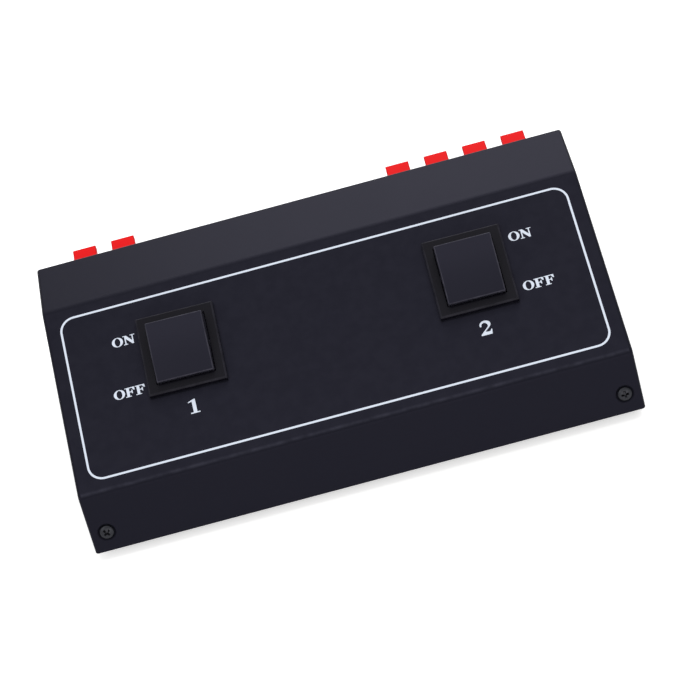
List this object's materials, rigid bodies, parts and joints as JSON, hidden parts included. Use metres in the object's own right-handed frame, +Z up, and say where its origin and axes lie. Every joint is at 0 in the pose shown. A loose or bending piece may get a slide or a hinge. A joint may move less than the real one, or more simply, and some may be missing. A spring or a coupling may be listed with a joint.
{
  "type": "speaker selector switch",
  "caption": "Desk speaker selector in a folded steel case: rocker switches on a sloping panel, spring-clip wire terminals along the back wall, rubber feet below.",
  "frame": {"origin": "middle of the whole footprint, lever tips included, on the surface that the feet stand on", "axes": "+X to the right along the case seen from the front, +Y from the front to the rear wall with the terminals, +Z up"},
  "size_m": [0.19, 0.1082, 0.0466],
  "materials": {
    "painted_steel": "satin black-blue paint",
    "foot_rubber": "matte",
    "black_screws": "black oxide",
    "zinc_screws": "bright zinc",
    "bezel_plastic": "fine moulded grain",
    "rocker_plastic": "satin",
    "plunger_nylon": "natural nylon",
    "spring_steel": "drawn wire",
    "contact_copper": "bare copper",
    "blade_brass": "stamped brass",
    "block_plastic": "moulded",
    "rod_steel": "ground rod",
    "clamp_steel": "nickel plate",
    "red_lever_plastic": "gloss",
    "black_lever_plastic": "gloss",
    "board_laminate": "paper laminate",
    "lead_insulation": "soft vinyl"
  },
  "bodies": {
    "case": {"block_screws": "zinc_screws", "bottom_lid": "painted_steel", "centre_blades_1": "blade_brass", "centre_blades_2": "blade_brass", "end_blades_1": "blade_brass", "end_blades_2": "blade_brass", "foot_front_left": "foot_rubber", "foot_front_right": "foot_rubber", "foot_rear_left": "foot_rubber", "foot_rear_right": "foot_rubber", "front_case_screws": "black_screws", "input_block_back": "block_plastic", "input_block_body": "block_plastic", "input_clamp_springs": "clamp_steel", "input_pivot_rods": "rod_steel", "left_channel_leads": "lead_insulation", "link_board": "board_laminate", "output_block_back": "block_plastic", "output_block_body": "block_plastic", "output_clamp_springs": "clamp_steel", "output_pivot_rods": "rod_steel", "rear_case_screws": "black_screws", "right_channel_leads": "lead_insulation", "switch_housing_1": "bezel_plastic", "switch_housing_2": "bezel_plastic", "top_cover": "painted_steel"},
    "rocker_1": {"rocker_1": "rocker_plastic", "plungers_1": "plunger_nylon", "plunger_springs_1": "spring_steel"},
    "contacts_1": {"contact_bridges_1": "contact_copper"},
    "rocker_2": {"rocker_2": "rocker_plastic", "plungers_2": "plunger_nylon", "plunger_springs_2": "spring_steel"},
    "contacts_2": {"contact_bridges_2": "contact_copper"},
    "input_left_red_lever": {"input_left_red_lever": "red_lever_plastic"},
    "input_left_black_lever": {"input_left_black_lever": "black_lever_plastic"},
    "input_right_red_lever": {"input_right_red_lever": "red_lever_plastic"},
    "input_right_black_lever": {"input_right_black_lever": "black_lever_plastic"},
    "output_1_left_red_lever": {"output_1_left_red_lever": "red_lever_plastic"},
    "output_1_left_black_lever": {"output_1_left_black_lever": "black_lever_plastic"},
    "output_1_right_red_lever": {"output_1_right_red_lever": "red_lever_plastic"},
    "output_1_right_black_lever": {"output_1_right_black_lever": "black_lever_plastic"},
    "output_2_left_red_lever": {"output_2_left_red_lever": "red_lever_plastic"},
    "output_2_left_black_lever": {"output_2_left_black_lever": "black_lever_plastic"},
    "output_2_right_red_lever": {"output_2_right_red_lever": "red_lever_plastic"},
    "output_2_right_black_lever": {"output_2_right_black_lever": "black_lever_plastic"}
  },
  "joints": [
    {"name": "rocker_1_hinge", "type": "hinge", "parent": "case", "child": "rocker_1", "pos_m": [-0.0505, -0.00398, 0.03631], "axis": [-0.9998, 0.0199, 0.0065], "range_deg": [0, 20]},
    {"name": "contacts_1_rock", "type": "hinge", "parent": "case", "child": "contacts_1", "pos_m": [-0.0505, -0.00058, 0.02585], "axis": [0.9998, -0.0199, -0.0065], "range_deg": [0, 16]},
    {"name": "rocker_2_hinge", "type": "hinge", "parent": "case", "child": "rocker_2", "pos_m": [0.0505, -0.00398, 0.03631], "axis": [-0.9999, 0.0116, 0.0038], "range_deg": [0, 20]},
    {"name": "contacts_2_rock", "type": "hinge", "parent": "case", "child": "contacts_2", "pos_m": [0.0505, -0.00058, 0.02585], "axis": [0.9999, -0.0116, -0.0038], "range_deg": [0, 16]},
    {"name": "input_left_red_lever_hinge", "type": "hinge", "parent": "case", "child": "input_left_red_lever", "pos_m": [-0.078, 0.03868, 0.03778], "axis": [-1, 0, 0], "range_deg": [0, 13], "stiffness_Nm_per_rad": 0.2, "springref_deg": -8.59},
    {"name": "input_left_black_lever_hinge", "type": "hinge", "parent": "case", "child": "input_left_black_lever", "pos_m": [-0.078, 0.03868, 0.02328], "axis": [-1, 0, 0], "range_deg": [0, 13], "stiffness_Nm_per_rad": 0.2, "springref_deg": -8.59},
    {"name": "input_right_red_lever_hinge", "type": "hinge", "parent": "case", "child": "input_right_red_lever", "pos_m": [-0.064, 0.03868, 0.03778], "axis": [-1, 0, 0], "range_deg": [0, 13], "stiffness_Nm_per_rad": 0.2, "springref_deg": -8.59},
    {"name": "input_right_black_lever_hinge", "type": "hinge", "parent": "case", "child": "input_right_black_lever", "pos_m": [-0.064, 0.03868, 0.02328], "axis": [-1, 0, 0], "range_deg": [0, 13], "stiffness_Nm_per_rad": 0.2, "springref_deg": -8.59},
    {"name": "output_1_left_red_lever_hinge", "type": "hinge", "parent": "case", "child": "output_1_left_red_lever", "pos_m": [0.0368, 0.03868, 0.03778], "axis": [-1, 0, 0], "range_deg": [0, 13], "stiffness_Nm_per_rad": 0.2, "springref_deg": -8.59},
    {"name": "output_1_left_black_lever_hinge", "type": "hinge", "parent": "case", "child": "output_1_left_black_lever", "pos_m": [0.0368, 0.03868, 0.02328], "axis": [-1, 0, 0], "range_deg": [0, 13], "stiffness_Nm_per_rad": 0.2, "springref_deg": -8.59},
    {"name": "output_1_right_red_lever_hinge", "type": "hinge", "parent": "case", "child": "output_1_right_red_lever", "pos_m": [0.0508, 0.03868, 0.03778], "axis": [-1, 0, 0], "range_deg": [0, 13], "stiffness_Nm_per_rad": 0.2, "springref_deg": -8.59},
    {"name": "output_1_right_black_lever_hinge", "type": "hinge", "parent": "case", "child": "output_1_right_black_lever", "pos_m": [0.0508, 0.03868, 0.02328], "axis": [-1, 0, 0], "range_deg": [0, 13], "stiffness_Nm_per_rad": 0.2, "springref_deg": -8.59},
    {"name": "output_2_left_red_lever_hinge", "type": "hinge", "parent": "case", "child": "output_2_left_red_lever", "pos_m": [0.0648, 0.03868, 0.03778], "axis": [-1, 0, 0], "range_deg": [0, 13], "stiffness_Nm_per_rad": 0.2, "springref_deg": -8.59},
    {"name": "output_2_left_black_lever_hinge", "type": "hinge", "parent": "case", "child": "output_2_left_black_lever", "pos_m": [0.0648, 0.03868, 0.02328], "axis": [-1, 0, 0], "range_deg": [0, 13], "stiffness_Nm_per_rad": 0.2, "springref_deg": -8.59},
    {"name": "output_2_right_red_lever_hinge", "type": "hinge", "parent": "case", "child": "output_2_right_red_lever", "pos_m": [0.0788, 0.03868, 0.03778], "axis": [-1, 0, 0], "range_deg": [0, 13], "stiffness_Nm_per_rad": 0.2, "springref_deg": -8.59},
    {"name": "output_2_right_black_lever_hinge", "type": "hinge", "parent": "case", "child": "output_2_right_black_lever", "pos_m": [0.0788, 0.03868, 0.02328], "axis": [-1, 0, 0], "range_deg": [0, 13], "stiffness_Nm_per_rad": 0.2, "springref_deg": -8.59}
  ],
  "couplings": [
    {"joint": "contacts_1_rock", "follows": "rocker_1_hinge", "ratio": 0.8},
    {"joint": "contacts_2_rock", "follows": "rocker_2_hinge", "ratio": 0.8}
  ]
}
